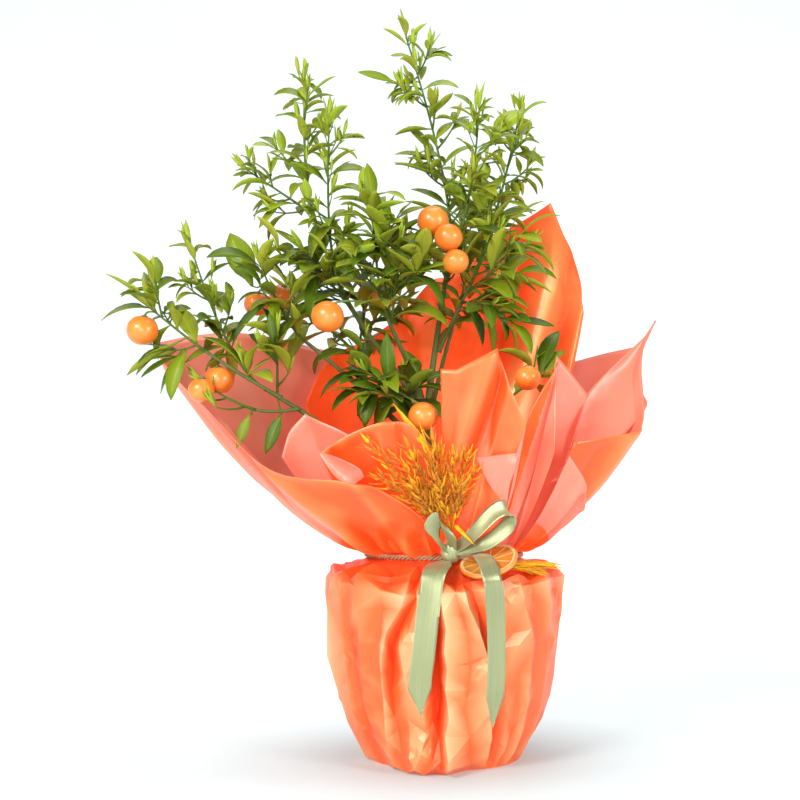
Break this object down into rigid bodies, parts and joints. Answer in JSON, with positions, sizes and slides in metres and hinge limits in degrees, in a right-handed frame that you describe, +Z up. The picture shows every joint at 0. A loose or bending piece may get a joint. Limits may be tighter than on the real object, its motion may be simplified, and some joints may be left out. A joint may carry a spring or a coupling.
{
  "type": "potted calamondin orange tree",
  "caption": "Potted citrus tree with small orange fruit, its pot gift-wrapped in flared paper tied with twine and a ribbon bow.",
  "frame": {"origin": "middle of the flat underside of the wrapped pot", "axes": "+Z up along the pot, -Y towards the side with the bow, +X to its right seen from the front"},
  "size_m": [0.4855, 0.2968, 0.6746],
  "materials": {
    "orange_paper": "satin",
    "pink_paper": "satin",
    "bark": "rough",
    "green_bark": "satin",
    "foliage": "satin",
    "pot_plastic": "matte",
    "compost": "rough",
    "green_ribbon": "satin",
    "jute": "rough",
    "straw": "matte",
    "dry_slice": "matte"
  },
  "bodies": {
    "root": {"bough_back_left": "green_bark", "bough_back_right": "green_bark", "bough_centre": "green_bark", "bough_far_left": "green_bark", "bough_left_low": "green_bark", "bough_left_mid": "green_bark", "bough_left_up": "green_bark", "bough_low_left": "green_bark", "bough_right": "green_bark", "bough_right_low": "green_bark", "bough_right_side": "green_bark", "bough_shoulder": "green_bark", "citrus_slice": "dry_slice", "dried_grass": "straw", "pot": "pot_plastic", "ribbon_bow": "green_ribbon", "ribbon_tail_left": "green_ribbon", "ribbon_tail_right": "green_ribbon", "soil": "compost", "spray_back_centre": "foliage", "spray_back_left": "foliage", "spray_back_right": "foliage", "spray_centre": "foliage", "spray_centre_right": "foliage", "spray_column": "foliage", "spray_far_left": "foliage", "spray_leader": "foliage", "spray_left_inner": "foliage", "spray_left_mid": "foliage", "spray_left_spire": "foliage", "spray_low_centre": "foliage", "spray_low_left": "foliage", "spray_mid_left": "foliage", "spray_mid_right": "foliage", "spray_right_crown": "foliage", "spray_right_low": "foliage", "spray_right_side": "foliage", "spray_right_top": "foliage", "spray_shoulder": "foliage", "spray_top_left": "foliage", "straw_tuft": "straw", "trunk": "bark", "twine": "jute", "wrap_back_left": "orange_paper", "wrap_back_pink": "pink_paper", "wrap_back_right": "orange_paper", "wrap_front_left": "orange_paper", "wrap_front_right": "orange_paper", "wrap_left": "pink_paper", "wrap_left_inner": "pink_paper", "wrap_right": "pink_paper", "wrap_right_front": "pink_paper", "wrap_right_low": "pink_paper", "wrap_right_mid": "pink_paper", "wrap_skirt": "orange_paper"}
  },
  "joints": []
}
